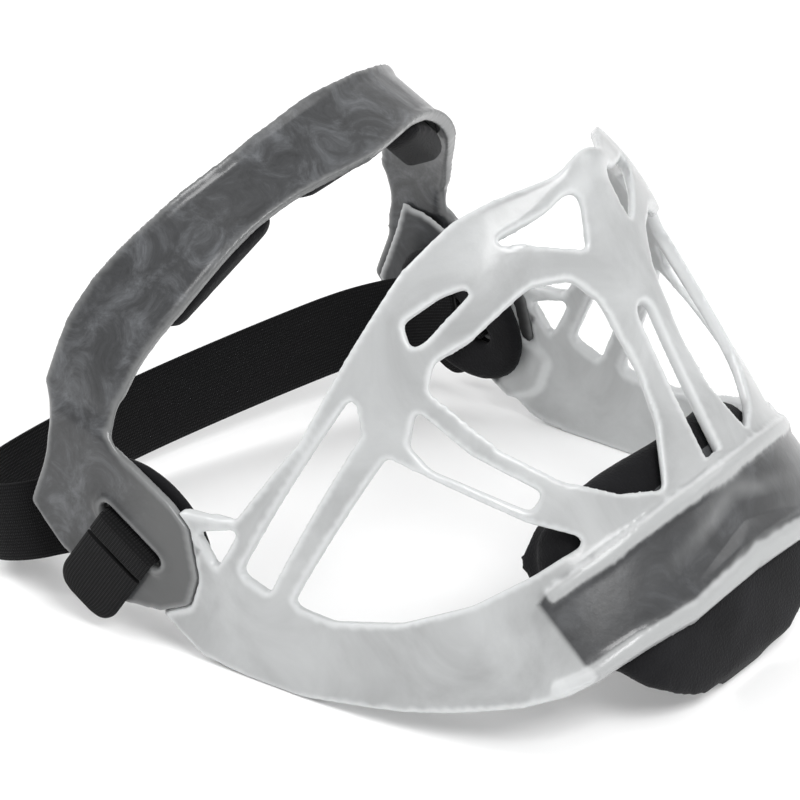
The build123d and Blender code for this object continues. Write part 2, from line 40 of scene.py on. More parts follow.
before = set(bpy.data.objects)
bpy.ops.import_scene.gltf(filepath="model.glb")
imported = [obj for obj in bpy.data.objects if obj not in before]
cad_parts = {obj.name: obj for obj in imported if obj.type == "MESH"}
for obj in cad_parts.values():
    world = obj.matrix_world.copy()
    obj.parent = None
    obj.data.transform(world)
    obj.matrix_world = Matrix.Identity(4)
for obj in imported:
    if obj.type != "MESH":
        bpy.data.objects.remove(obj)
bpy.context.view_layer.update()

MM = 0.001
# Slot line of the worn guard and how far the face looks up from level, as in the CAD model
SLOT_LINE = np.array((0.0, 0.0372, 0.0238))
FACE_UP = math.radians(64.0)


def to_row(worn):
    """Worn points (x, forward, up) in metres, turned back by the face-up angle about X onto the slot line."""
    worn = np.asarray(worn, dtype=float)
    c, s = math.cos(FACE_UP), math.sin(FACE_UP)
    ahead = c * worn[..., 1] - s * worn[..., 2]
    rise = s * worn[..., 1] + c * worn[..., 2]
    return np.stack((worn[..., 0], -ahead, rise), axis=-1) + SLOT_LINE


def turned_to_worn(vectors):
    """Row directions as (across, forward, up) of the worn guard."""
    c, s = math.cos(FACE_UP), math.sin(FACE_UP)
    ahead = -vectors[..., 1]
    rise = vectors[..., 2]
    return np.stack((vectors[..., 0], c * ahead + s * rise, -s * ahead + c * rise), axis=-1)


def to_worn(points):
    """The inverse of to_row: row points as (x, forward, up) in metres."""
    return turned_to_worn(np.asarray(points, dtype=float) - SLOT_LINE)


# The frame's outer face: half width, then its reach and front power at heights over the slot line
HALF_WIDTH = 0.089
FRAME_DROP = 0.1365
FRAME_REACH = 0.153
FRAME_HEIGHTS = FRAME_DROP * np.array(
    (-1.07, -0.996, -0.916, -0.762, -0.549, -0.344, -0.256, -0.161, -0.07, 0.22)
)
FRAME_REACHES = FRAME_REACH * np.array((0.366, 0.464, 0.542, 0.634, 0.752, 0.882, 0.941, 0.982, 0.993, 0.993))
FRAME_POWERS = np.array((2.1, 2.1, 2.0, 1.75, 1.6, 1.55, 1.55, 1.55, 1.55, 1.55))
FRAME_SIDE_POWER = 2.3

# In a pair that ends in _RANGE, a share is 0 at the first value and 1 at the second
# A pair that ends in _EVEN and _PASSES is the weight and the number of passes of a mean over neighbours

# A face is a cut edge if its normal's cosine to the shell's is below this, and a rib if it stands this high
EDGE_FACING = 0.80
RIB_RANGE = (0.0003, 0.0010)
RIM_EVEN, RIM_PASSES = 0.5, 3
# The chin wall's smoked panel: half width, then heights of its top and foot at distances from the middle
PANEL_HALF = 0.065
PANEL_ACROSS = np.array((0.0, 0.011, 0.0314, 0.0484, 0.0627))
PANEL_TOP = np.array((-0.1055, -0.1050, -0.1035, -0.1012, -0.0974))
PANEL_FOOT = np.array((-0.138, -0.137, -0.135, -0.132, -0.126))
# The smoked ears behind the temple plates: how far forward they go, how that grows upwards, and their foot
EAR_FRONT = 0.019
EAR_LEAN = 0.3
EAR_FOOT = -0.008
# Distance from the outlines of panel and ears, positive inside them
BACKED_RANGE = (-0.005, 0.005)
# The lobe is the clearer lower part of a temple plate's outer face: distance from the middle, sloping height
PLATE_RANGE = (0.0850, 0.0860)
LOBE_RANGE = (0.030, -0.002)
LOBE_LEAN, LOBE_MIDDLE = 0.4, 0.010

# How far the dips at the middle of the chin wall's two ribs are lifted, and half the width of each dip
UPPER_LIFT, UPPER_DIP = 0.0042, 0.013
LOWER_LIFT, LOWER_DIP = 0.0055, 0.030
# Heights where the upper lift sets in, and where the lower one takes over
UPPER_RANGE = (-0.100, -0.106)
LOWER_RANGE = (-0.114, -0.122)
# The nose tip: forward of this, and its ends across and downwards
NOSE_FORWARD = 0.12
NOSE_SIDE_RANGE = (0.026, 0.016)
NOSE_FOOT_RANGE = (-0.040, -0.030)
# The parabola over the tip: height in the middle, and its drop at a distance from there
NOSE_TOP, NOSE_FALL, NOSE_ACROSS = -0.0045, 0.012, 0.022
# How far what stands over the parabola is drawn down to it
NOSE_DRAW = 0.85
# The tip's swell in the middle, half its width, and its end downwards
NOSE_SWELL, NOSE_HALF = 0.0045, 0.024
SWELL_FOOT_RANGE = (-0.038, -0.020)
NOSE_EVEN, NOSE_PASSES = 0.6, 25

# The chin cup's oval, seen from in front and below: the turn of that line of sight, half sizes and middle
CUP_TURN = math.radians(-41.0)
CUP_HALF = (0.053, 0.036)
CUP_MIDDLE = -0.0465
# The cushion in that oval: how square its upper half is, its growth up, down and across, and its shift aside
CUSHION_SQUARE = 3.4
CUSHION_UP, CUSHION_DOWN, CUSHION_ACROSS = 1.22, 0.94, 0.94
CUSHION_ASIDE = -0.005
# How much fuller it is on its head side, the share of that at its foot, and the depths of that side
CUSHION_FILL, CUSHION_FOOT_SHARE = 0.010, 0.3
HEAD_SIDE_RANGE = (-0.0065, -0.0155)
# Slides of each point to its depth: how many, the longest, and the least cosine between sight and shell
CUSHION_SLIDES, CUSHION_SLIDE, CUSHION_COSINE = 4, 0.006, 0.3
# Lowest heights of the liner behind the chin wall at distances from the middle
LINER_ACROSS = np.array((0.0, 0.030, 0.0636, 0.0726))
LINER_FOOT = np.array((-0.130, -0.127, -0.1215, -0.1168))

# The band's outer face
BAND_REACH = 0.100
BAND_POWER = 2.2
# How the band's top edge is moved, in metres, at degrees around the head from its middle
BAND_TURNS = np.array((0.0, 10.0, 20.0, 30.0, 50.0, 60.0, 72.0, 82.0))
BAND_LIFTS = MM * np.array((-2.4, -2.0, -0.5, 2.0, 3.6, 5.6, 5.6, 1.2))
# Reading of the edges: degrees in a step, then steps to each side in the average and its spread in steps
BAND_STEP = 1.5
FAIR_STEPS, FAIR_SPREAD = 12, 3.6
# Degrees from the front where the change of the foot and of the top sets in
FOOT_TURN_RANGE = (68.0, 54.0)
TOP_TURN_RANGE = (88.0, 74.0)
# The rolled rim along the edges: height, width, and heights over the shell where it sets in
BAND_LIP, BAND_LIP_WIDTH = 0.0012, 0.004
LIP_RANGE = (-0.0016, -0.0006)
# The line, side on, where the temple plate begins to stand over the band: its normal and its place
STEP_ACROSS = np.array((0.905, 0.4256))
STEP_PLACE = 0.0415
# It is evened out beyond this distance from the middle, at these distances from the line
STEP_OUT = 0.080
STEP_RANGE = (0.008, 0.003)
STEP_EVEN, STEP_PASSES = 0.5, 80


def frame_value(worn):
    """(|x| / half width) ^ front power + (forward / reach) ^ side power: 1 on the frame's outer face."""
    reach = np.interp(worn[..., 2], FRAME_HEIGHTS, FRAME_REACHES)
    power = np.interp(worn[..., 2], FRAME_HEIGHTS, FRAME_POWERS)
    across = (np.abs(worn[..., 0]) / HALF_WIDTH) ** power
    return across + (np.maximum(worn[..., 1], 0.0) / reach) ** FRAME_SIDE_POWER


def band_value(worn):
    """(|x| / half width) ^ power + (forward / reach) ^ power: 1 on the band's outer face."""
    across = (np.abs(worn[..., 0]) / HALF_WIDTH) ** BAND_POWER
    return across + (np.maximum(worn[..., 1], 0.0) / BAND_REACH) ** BAND_POWER


def height_over(value, worn):
    """Height over a shell, (value - 1) / |gradient|, and the unit gradient, by central differences."""
    step = 0.0004
    slope = np.stack([
        (value(worn + step * axis) - value(worn - step * axis)) / (2.0 * step) for axis in np.eye(3)
    ], axis=-1)
    size = np.maximum(np.linalg.norm(slope, axis=-1), 1e-6)
    return (value(worn) - 1.0) / size, slope / size[..., None]


def slide_up(worn, heights):
    """Moves worn points to new heights along the frame's front, keeping their depth under it."""
    before = np.interp(worn[:, 2], FRAME_HEIGHTS, FRAME_REACHES)
    worn[:, 1] += np.interp(heights, FRAME_HEIGHTS, FRAME_REACHES) - before
    worn[:, 2] = heights


def share(value, low, high):
    """How far a value is from low to high, from 0 to 1."""
    return np.clip((value - low) / (high - low), 0.0, 1.0)


def eased(values):
    """3 t ^ 2 - 2 t ^ 3, which leaves 0 and reaches 1 gently."""
    return values * values * (3.0 - 2.0 * values)


def edge_ends(piece):
    """The first and the second vertex of every edge, as two rows."""
    ends = np.empty(len(piece.data.edges) * 2, dtype=int)
    piece.data.edges.foreach_get("vertices", ends)
    return ends.reshape(-1, 2).T


def ring_mean(piece, values, weight, passes):
    """Moves each vertex's row of values towards its neighbours' mean by its weight, again and again."""
    first, second = edge_ends(piece)
    size = len(values)
    count = np.bincount(first, minlength=size) + np.bincount(second, minlength=size)
    count = np.maximum(count, 1)[:, None]
    for _ in range(passes):
        total = np.stack([
            np.bincount(first, column[second], size) + np.bincount(second, column[first], size)
            for column in values.T
        ], axis=-1)
        values = values + weight[:, None] * (total / count - values)
    return values


# Marks: values on vertices that the materials read


def mark(piece, name, values):
    """A named attribute with one value for each vertex."""
    layer = piece.data.attributes.new(name, "FLOAT", "POINT")
    layer.data.foreach_set("value", np.ascontiguousarray(values, dtype=np.float32))


def mark_rims(piece, value, rings, ribs=True):
    """Marks "rim": 1 on cut edges and ribs, falling by 1 / rings with each ring of faces away from them. The
    clear frame's material lightens these as a painted highlight.
    """
    points = coordinates(piece)
    normals = np.empty(points.size)
    piece.data.vertices.foreach_get("normal", normals)
    height, way = height_over(value, to_worn(points))
    facing = np.abs((turned_to_worn(normals.reshape(-1, 3)) * way).sum(axis=-1))
    rim = (facing < EDGE_FACING).astype(float)
    first, second = edge_ends(piece)
    for _ in range(rings):
        spread = rim.copy()
        np.maximum.at(spread, first, rim[second] - 1.0 / rings)
        np.maximum.at(spread, second, rim[first] - 1.0 / rings)
        rim = spread
    if ribs:
        rim = np.maximum(rim, share(height, *RIB_RANGE))
    weight = np.full(len(rim), RIM_EVEN)
    mark(piece, "rim", ring_mean(piece, rim[:, None], weight, RIM_PASSES)[:, 0])


def mark_backed(piece):
    """Marks "backed": over 0.5 on the smoked panel of the chin wall and on the ears."""
    worn = to_worn(coordinates(piece))
    across = np.abs(worn[:, 0])
    under_top = np.interp(across, PANEL_ACROSS, PANEL_TOP) - worn[:, 2]
    over_foot = worn[:, 2] - np.interp(across, PANEL_ACROSS, PANEL_FOOT)
    panel = np.minimum(np.minimum(under_top, over_foot), PANEL_HALF - across)
    behind = EAR_FRONT + EAR_LEAN * np.maximum(worn[:, 2], 0.0) - worn[:, 1]
    ear = np.minimum(behind, worn[:, 2] - EAR_FOOT)
    mark(piece, "backed", share(np.maximum(panel, ear), *BACKED_RANGE))


def mark_lobe(piece):
    """Marks "lobe": 1 on the lower part of the temple plates' outer faces, fading out upwards."""
    worn = to_worn(coordinates(piece))
    outer = share(np.abs(worn[:, 0]), *PLATE_RANGE)
    level = worn[:, 2] - LOBE_LEAN * (worn[:, 1] - LOBE_MIDDLE)
    mark(piece, "lobe", outer * share(level, *LOBE_RANGE))


# Shaping of the remeshed pieces


def ease_front(piece):
    """Rounds the frame's front: evens the chin wall's ribs at their middle and rolls the nose tip outward.

    The ribs dip to a point at x = 0, and the lift there falls straight to nothing at the dip's ends. The nose
    tip grows by its swell times cos(pi x / (2 half width)) ^ 2, and its top comes down towards a parabola.
    """
    worn = to_worn(coordinates(piece))
    across = np.abs(worn[:, 0])
    upper = UPPER_LIFT * share(across, UPPER_DIP, 0.0) * share(worn[:, 2], *UPPER_RANGE)
    lower = LOWER_LIFT * share(across, LOWER_DIP, 0.0)
    mix = share(worn[:, 2], *LOWER_RANGE)
    slide_up(worn, worn[:, 2] + (1.0 - mix) * upper + mix * lower)
    way = height_over(frame_value, worn)[1]
    ahead = worn[:, 1] > NOSE_FORWARD
    tip = ahead * share(across, *NOSE_SIDE_RANGE) * share(worn[:, 2], *NOSE_FOOT_RANGE)
    round_top = NOSE_TOP - NOSE_FALL * (across / NOSE_ACROSS) ** 2
    worn[:, 2] -= NOSE_DRAW * tip * np.maximum(worn[:, 2] - round_top, 0.0)
    swell = NOSE_SWELL * np.cos(0.5 * np.pi * share(across, 0.0, NOSE_HALF)) ** 2
    swell = swell * share(worn[:, 2], *SWELL_FOOT_RANGE) * ahead
    worn = worn + way * swell[:, None]
    set_coordinates(piece, ring_mean(piece, to_row(worn), NOSE_EVEN * tip, NOSE_PASSES))


def swell_cup(piece):
    """Shapes the chin cushion as a bowl: squarer and higher in its upper half, and fuller towards the head.

    In shares of the oval's half sizes the upper half grows by (|cos| ^ p + |sin| ^ p) ^ (-1 / p). Each point
    then slides along the line of sight to its old depth under the frame's outer face, or deeper by the fill
    on the head side.
    """
    worn = to_worn(coordinates(piece))
    depth = height_over(frame_value, worn)[0]
    c, s = math.cos(CUP_TURN), math.sin(CUP_TURN)
    sight = np.array((0.0, c, s))
    along = worn @ sight
    a = worn[:, 0] / CUP_HALF[0]
    b = (c * worn[:, 2] - s * worn[:, 1] - CUP_MIDDLE) / CUP_HALF[1]
    size = np.hypot(a, b) + 1e-9
    power = CUSHION_SQUARE
    square = ((np.abs(a) / size) ** power + (np.abs(b) / size) ** power) ** (-1.0 / power)
    growth = np.where(b > 0.0, square, 1.0)
    rise = np.where(b > 0.0, CUSHION_UP * growth * b, CUSHION_DOWN * b) * CUP_HALF[1] + CUP_MIDDLE
    aside = CUSHION_ACROSS * growth * a * CUP_HALF[0] + CUSHION_ASIDE
    worn = np.stack((aside, along * c - rise * s, along * s + rise * c), axis=-1)
    fullness = CUSHION_FOOT_SHARE + (1.0 - CUSHION_FOOT_SHARE) * share(b, -1.0, 1.0)
    wanted = depth - CUSHION_FILL * share(depth, *HEAD_SIDE_RANGE) * fullness
    for _ in range(CUSHION_SLIDES):
        height, way = height_over(frame_value, worn)
        slide = (wanted - height) / np.maximum(way @ sight, CUSHION_COSINE)
        worn = worn + np.clip(slide, -CUSHION_SLIDE, CUSHION_SLIDE)[:, None] * sight
    points = to_row(worn)
    points[:, 2] = np.maximum(points[:, 2], 0.0)
    set_coordinates(piece, points)


def ease_band(piece):
    """Fairs the band's two edges, widens its temples and raises a rolled rim along the edges.

    The edges are read from the mesh in steps around the head and averaged with weights
    exp(-(steps / spread) ^ 2 / 2), and the heights between them follow in proportion. Near the temple plates
    the change fades out. The step where the plate begins is drawn out into a slope.
    """
    worn = to_worn(coordinates(piece))
    turn = np.degrees(np.arctan2(worn[:, 0], worn[:, 1]))
    stops = np.arange(-90.0, 90.0 + BAND_STEP, BAND_STEP)
    place = np.clip(np.rint((turn + 90.0) / BAND_STEP).astype(int), 0, len(stops) - 1)
    top = np.full(len(stops), -1.0)
    foot = np.full(len(stops), 1.0)
    np.maximum.at(top, place, worn[:, 2])
    np.minimum.at(foot, place, worn[:, 2])
    spread = np.exp(-0.5 * (np.arange(-FAIR_STEPS, FAIR_STEPS + 1) / FAIR_SPREAD) ** 2)
    spread /= spread.sum()
    fair_top, fair_foot = (
        np.convolve(np.pad(edge, FAIR_STEPS, mode="edge"), spread, mode="valid") for edge in (top, foot)
    )
    fair_top += np.interp(np.abs(stops), BAND_TURNS, BAND_LIFTS)
    old_top, old_foot, new_top, new_foot = (
        np.interp(turn, stops, edge) for edge in (top, foot, fair_top, fair_foot)
    )
    part = (worn[:, 2] - old_foot) / (old_top - old_foot)
    near_front = share(np.abs(turn), *FOOT_TURN_RANGE)
    near_top = share(np.abs(turn), *TOP_TURN_RANGE)
    new_foot = old_foot + near_front * (new_foot - old_foot)
    new_top = old_top + near_top * (new_top - old_top)
    worn[:, 2] = new_foot + part * (new_top - new_foot)
    height, way = height_over(band_value, worn)
    inset = np.minimum(part, 1.0 - part) * (new_top - new_foot)
    lip = eased(share(inset, BAND_LIP_WIDTH, 0.0)) * share(height, *LIP_RANGE)
    worn = worn + way * (BAND_LIP * lip * near_front)[:, None]
    past_step = np.abs(worn[:, 1:] @ STEP_ACROSS - STEP_PLACE)
    near_step = (np.abs(worn[:, 0]) > STEP_OUT) * share(past_step, *STEP_RANGE)
    set_coordinates(piece, ring_mean(piece, to_row(worn), STEP_EVEN * near_step, STEP_PASSES))


def trim_liner(piece):
    """Slides the liner's lower edge up along the chin wall, to stay behind the wall's foot."""
    worn = to_worn(coordinates(piece))
    foot = np.interp(np.abs(worn[:, 0]), LINER_ACROSS, LINER_FOOT)
    slide_up(worn, np.maximum(worn[:, 2], foot))
    set_coordinates(piece, to_row(worn))


# Meshes


def mesh_object(name, points, faces, smooth=True):
    """A mesh object at the origin from arrays of points and faces."""
    mesh = bpy.data.meshes.new(name)
    mesh.from_pydata(points.tolist(), [], [list(face) for face in faces])
    mesh.update()
    mesh.polygons.foreach_set("use_smooth", [smooth] * len(mesh.polygons))
    piece = bpy.data.objects.new(name, mesh)
    bpy.context.scene.collection.objects.link(piece)
    return piece


def coordinates(piece):
    """The piece's vertices as an array."""
    flat = np.empty(len(piece.data.vertices) * 3)
    piece.data.vertices.foreach_get("co", flat)
    return flat.reshape(-1, 3)


def set_coordinates(piece, points):
    """Puts an array of vertices back into the piece."""
    piece.data.vertices.foreach_set("co", points.reshape(-1))
    piece.data.update()


def copy_of(node, name):
    """A merged copy of a CAD node's mesh as a new object at the origin."""
    piece = bpy.data.objects.new(name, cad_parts[node].data.copy())
    bpy.context.scene.collection.objects.link(piece)
    piece.data.materials.clear()
    weld = piece.modifiers.new("Weld", "WELD")
    weld.merge_threshold = 0.00002
    apply_modifiers(piece)
    return piece


def apply_modifiers(piece):
    """Replaces the piece's mesh by what its modifiers make of it."""
    graph = bpy.context.evaluated_depsgraph_get()
    made = bpy.data.meshes.new_from_object(piece.evaluated_get(graph))
    old = piece.data
    piece.modifiers.clear()
    piece.data = made
    bpy.data.meshes.remove(old)
    piece.data.name = piece.name


def moulded(piece, voxel, passes):
    """Voxel remesh at the given size, then smoothing passes, so that cut edges come out rounded."""
    remesh = piece.modifiers.new("Remesh", "REMESH")
    remesh.mode = "VOXEL"
    remesh.voxel_size = voxel
    remesh.use_smooth_shade = True
    soften = piece.modifiers.new("Soften", "SMOOTH")
    soften.factor = 0.5
    soften.iterations = passes
    apply_modifiers(piece)
    piece.data.polygons.foreach_set("use_smooth", [True] * len(piece.data.polygons))
    return piece


# Materials


def new_material(name):
    """An empty node material and its principled shader."""
    made = bpy.data.materials.new(name)
    made.use_nodes = True
    tree = made.node_tree
    return made, tree, tree.nodes["Principled BSDF"]


def add_node(tree, kind, **settings):
    """A node of a kind, with properties set by name."""
    made = tree.nodes.new(kind)
    for key, value in settings.items():
        setattr(made, key, value)
    return made


def noise(tree, scale, detail=3.0, roughness=0.5, distortion=0.0):
    """Noise on object coordinates."""
    place = add_node(tree, "ShaderNodeTexCoord")
    made = add_node(tree, "ShaderNodeTexNoise")
    made.inputs["Scale"].default_value = scale
    made.inputs["Detail"].default_value = detail
    made.inputs["Roughness"].default_value = roughness
    made.inputs["Distortion"].default_value = distortion
    tree.links.new(place.outputs["Object"], made.inputs["Vector"])
    return made


def ramp(tree, source, stops):
    """A colour ramp on a value, from (place, colour) stops."""
    made = add_node(tree, "ShaderNodeValToRGB")
    band = made.color_ramp
    while len(band.elements) < len(stops):
        band.elements.new(0.5)
    for element, (place, colour) in zip(band.elements, stops):
        element.position = place
        element.color = (*colour, 1.0)
    tree.links.new(source, made.inputs["Fac"])
    return made


def bump(tree, shader, source, strength, distance):
    """Bump from a height value, in metres."""
    made = add_node(tree, "ShaderNodeBump")
    made.inputs["Strength"].default_value = strength
    made.inputs["Distance"].default_value = distance
    tree.links.new(source, made.inputs["Height"])
    tree.links.new(made.outputs["Normal"], shader.inputs["Normal"])


def attribute(tree, name):
    """The value of one of the piece's own marks."""
    made = add_node(tree, "ShaderNodeAttribute", attribute_name=name)
    return made.outputs["Fac"]


def blended(tree, factor, first, second):
    """A colour between two, each a socket or a plain colour."""
    made = add_node(tree, "ShaderNodeMix", data_type="RGBA")
    tree.links.new(factor, made.inputs["Factor"])
    for entry, source in (("A", first), ("B", second)):
        socket = [item for item in made.inputs if item.name == entry and item.type == "RGBA"][0]
        if isinstance(source, tuple):
            socket.default_value = (*source, 1.0)
        else:
            tree.links.new(source, socket)
    return [item for item in made.outputs if item.type == "RGBA"][0]


def scaled(colour, amount):
    """A colour made lighter or darker, kept within 0 to 1."""
    return tuple(min(1.0, amount * value) for value in colour)


def stepped(tree, source, low, high):
    """A smooth step of a value from 0 at low to 1 at high."""
    made = add_node(tree, "ShaderNodeMapRange", interpolation_type="SMOOTHSTEP")
    made.inputs["From Min"].default_value = low
    made.inputs["From Max"].default_value = high
    tree.links.new(source, made.inputs["Value"])
    return made.outputs["Result"]


def clear_plastic(name, colour, smoke, roughness):
    """Frosted clear plastic: cloudy and greyer in its flats, lightened along its rims and ribs as a painted
    highlight, dark where backed.
    """
    made, tree, shader = new_material(name)
    cloud = noise(tree, 30.0, 5.0, 0.6, 0.8)
    flats = ramp(tree, cloud.outputs["Fac"], [
        (0.30, scaled(colour, 0.70)),
        (0.50, scaled(colour, 0.88)),
        (0.72, scaled(colour, 1.04)),
    ])
    rims = stepped(tree, attribute(tree, "rim"), 0.15, 0.85)
    # Painted highlight: the base colour is lightened along the frame's cut edges and ribs.
    body = blended(tree, rims, flats.outputs["Color"], scaled(colour, 1.30))
    mottle = noise(tree, 75.0, 6.0, 0.65, 1.0)
    shade = ramp(tree, mottle.outputs["Fac"], [
        (0.30, scaled(smoke, 0.6)),
        (0.52, smoke),
        (0.74, scaled(smoke, 2.0)),
    ])
    # Painted highlight: the rims stay lighter over the smoked panel too.
    smoke_with_rim_highlight = blended(tree, rims, shade.outputs["Color"], scaled(colour, 0.62))
    backed = stepped(tree, attribute(tree, "backed"), 0.42, 0.58)
    colours = blended(tree, backed, body, smoke_with_rim_highlight)
    tree.links.new(colours, shader.inputs["Base Color"])
    clear = add_node(tree, "ShaderNodeMapRange")
    clear.inputs["To Min"].default_value = 0.38
    clear.inputs["To Max"].default_value = 0.05
    tree.links.new(backed, clear.inputs["Value"])
    tree.links.new(clear.outputs["Result"], shader.inputs["Transmission Weight"])
    shader.inputs["Roughness"].default_value = roughness
    shader.inputs["IOR"].default_value = 1.46
    shader.inputs["Coat Weight"].default_value = 0.45
    shader.inputs["Coat Roughness"].default_value = 0.14
    dents = noise(tree, 240.0, 4.0, 0.6)
    bump(tree, shader, dents.outputs["Fac"], 0.3, 0.00035)
    return made


def smoke_plastic(name, colour, clear):
    """Smoke plastic over grey foam: dark mottled panel, lighter thick rims, and a clearer lobe by the ear."""
    made, tree, shader = new_material(name)
    cloud = noise(tree, 85.0, 9.0, 0.72, 0.9)
    panel = ramp(tree, cloud.outputs["Fac"], [
        (0.32, scaled(colour, 0.45)),
        (0.48, colour),
        (0.58, scaled(colour, 1.9)),
        (0.72, scaled(colour, 3.6)),
    ])
    rims = stepped(tree, attribute(tree, "rim"), 0.25, 0.95)
    lobe = stepped(tree, attribute(tree, "lobe"), 0.1, 0.9)
    body = blended(tree, lobe, panel.outputs["Color"], scaled(clear, 0.12))
    edge = blended(tree, lobe, scaled(clear, 0.25), scaled(clear, 0.32))
    colours = blended(tree, rims, body, edge)
    tree.links.new(colours, shader.inputs["Base Color"])
    shader.inputs["Roughness"].default_value = 0.34
    shader.inputs["Coat Weight"].default_value = 0.3
    shader.inputs["Coat Roughness"].default_value = 0.12
    dents = noise(tree, 170.0, 4.0, 0.6)
    bump(tree, shader, dents.outputs["Fac"], 0.35, 0.0005)
    return made


def foam(name, colour):
    """Closed-cell foam with a fine pebbled skin."""
    made, tree, shader = new_material(name)
    place = add_node(tree, "ShaderNodeTexCoord")
    cells = add_node(tree, "ShaderNodeTexVoronoi")
    cells.inputs["Scale"].default_value = 1400.0
    tree.links.new(place.outputs["Object"], cells.inputs["Vector"])
    patches = noise(tree, 60.0, 3.0)
    tint = ramp(tree, patches.outputs["Fac"], [
        (0.3, scaled(colour, 0.8)),
        (0.7, scaled(colour, 1.5)),
    ])
    tree.links.new(tint.outputs["Color"], shader.inputs["Base Color"])
    shader.inputs["Roughness"].default_value = 0.85
    shader.inputs["Specular IOR Level"].default_value = 0.12
    shader.inputs["Sheen Weight"].default_value = 0.06
    shader.inputs["Sheen Roughness"].default_value = 0.5
    bump(tree, shader, cells.outputs["Distance"], 0.5, 0.0003)
    return made


def webbing(name, colour):
    """Woven elastic: ribs along the length and picks across it, on the piece's own UV map."""
    made, tree, shader = new_material(name)
    place = add_node(tree, "ShaderNodeUVMap")
    place.uv_map = "weave"
    along = add_node(tree, "ShaderNodeTexWave", wave_type="BANDS", bands_direction="X")
    along.inputs["Scale"].default_value = 0.5
    along.inputs["Distortion"].default_value = 0.3
    across = add_node(tree, "ShaderNodeTexWave", wave_type="BANDS", bands_direction="Y")
    across.inputs["Scale"].default_value = 0.32
    for wave in (along, across):
        tree.links.new(place.outputs["UV"], wave.inputs["Vector"])
    both = add_node(tree, "ShaderNodeMath", operation="MULTIPLY")
    tree.links.new(along.outputs["Fac"], both.inputs[0])
    tree.links.new(across.outputs["Fac"], both.inputs[1])
    tint = ramp(tree, both.outputs["Value"], [
        (0.0, scaled(colour, 0.6)),
        (1.0, scaled(colour, 2.2)),
    ])
    tree.links.new(tint.outputs["Color"], shader.inputs["Base Color"])
    shader.inputs["Roughness"].default_value = 0.8
    shader.inputs["Specular IOR Level"].default_value = 0.12
    shader.inputs["Sheen Weight"].default_value = 0.05
    bump(tree, shader, both.outputs["Value"], 0.7, 0.0004)
    return made


# Settings that a user would change


class FaceGuardFrame(bpy.types.PropertyGroup):
    """The clear frame and the smoke band."""

    clear: bpy.props.FloatVectorProperty(
        name="Clear plastic", description="Colour of the clear frame", subtype="COLOR",
        size=3, min=0.0, max=1.0, default=(0.60, 0.612, 0.615),
    )
    frost: bpy.props.FloatProperty(
        name="Frost", description="Roughness of the clear plastic", default=0.36, min=0.0, max=1.0,
    )
    smoke: bpy.props.FloatVectorProperty(
        name="Smoke plastic", description="Colour of the forehead band", subtype="COLOR",
        size=3, min=0.0, max=1.0, default=(0.034, 0.0355, 0.038),
    )
    voxel: bpy.props.FloatProperty(
        name="Surface step", description="Size of the faces on the moulded plastic",
        default=0.0009, min=0.0005, max=0.004, unit="LENGTH",
    )


class FaceGuardSoft(bpy.types.PropertyGroup):
    """The pads and the strap."""

    foam: bpy.props.FloatVectorProperty(
        name="Foam", description="Colour of the pads", subtype="COLOR",
        size=3, min=0.0, max=1.0, default=(0.008, 0.008, 0.009),
    )
    liner: bpy.props.FloatVectorProperty(
        name="Liner", description="Colour of the liner behind the chin wall", subtype="COLOR",
        size=3, min=0.0, max=1.0, default=(0.07, 0.072, 0.075),
    )
    strap: bpy.props.FloatVectorProperty(
        name="Strap", description="Colour of the woven elastic", subtype="COLOR",
        size=3, min=0.0, max=1.0, default=(0.005, 0.005, 0.0055),
    )


class FaceGuardStudio(bpy.types.PropertyGroup):
    """Camera, lights and floor."""

    elevation: bpy.props.FloatProperty(
        name="Elevation", description="Camera above the horizon",
        default=math.radians(29.16), subtype="ANGLE",
    )
    azimuth: bpy.props.FloatProperty(
        name="Azimuth", description="Camera turn about the guard",
        default=math.radians(-54.82), subtype="ANGLE",
    )
    distance: bpy.props.FloatProperty(
        name="Distance", description="Camera to slot line", default=2.0, min=0.3, unit="LENGTH",
    )
    width: bpy.props.FloatProperty(
        name="View width", description="Width seen at the slot line", default=0.2412, min=0.05, unit="LENGTH",
    )


# Surfaces of the straps

# Middle between the two slots, and the directions along and across them
SWING_POINT = np.array((0.0, 0.0464272, 0.0343085))
SLOT_LONG = np.array((0.0, 0.838671, 0.544639))
SLOT_ACROSS = np.array((0.0, -0.544639, 0.838671))
# Slope of the run behind the head, the strap's width in the slots and behind the head, and its thickness
STRAP_SLOPE = math.radians(15.0)
STRAP_WIDTH = 0.022
BACK_WIDTH = 0.025
STRAP_THICKNESS = 0.002
# The strap's route behind the head: across as shares of its side reach, then back as shares of its back reach
STRAP_SIDE, STRAP_BACK = 0.0773, 0.070
STRAP_ROUTE = np.array((
    (1.0, 0.0), (0.987, 0.171), (0.938, 0.329), (0.795, 0.471), (0.568, 0.586), (0.284, 0.714),
    (-0.085, 0.857), (-0.455, 0.957), (-0.795, 1.0), (-1.023, 0.971), (-1.136, 0.829), (-1.108, 0.629),
    (-1.009, 0.5), (-0.966, 0.357), (-0.973, 0.171), (-1.0, 0.0),
))

# Routes of a loop and a tab: across the slot from its middle, and out from the guard's middle
LOOP_ROUTE = MM * np.array((
    (0.0, 77.6), (0.0, 81.0), (0.0, 85.0), (0.0, 89.0),
    (-0.1, 91.2), (-2.4, 91.3), (-5.0, 91.3), (-7.6, 91.3),
))
TAB_ROUTE = MM * np.array(((-9.1, 91.3), (-14.0, 91.3), (-21.0, 91.3), (-31.3, 91.3)))
# Length of the tab's rounded end
TAB_ROUND = 0.007
# The strap turns from upright to the slots' direction over this share of its length, by its twist's power
TWIST_SHARE, TWIST_POWER = 0.10, 1.5
# Points in each bend of a route, and along the three kinds of ribbon
BEND_POINTS = 24
BACK_POINTS, LOOP_POINTS, TAB_POINTS = 240, 70, 60
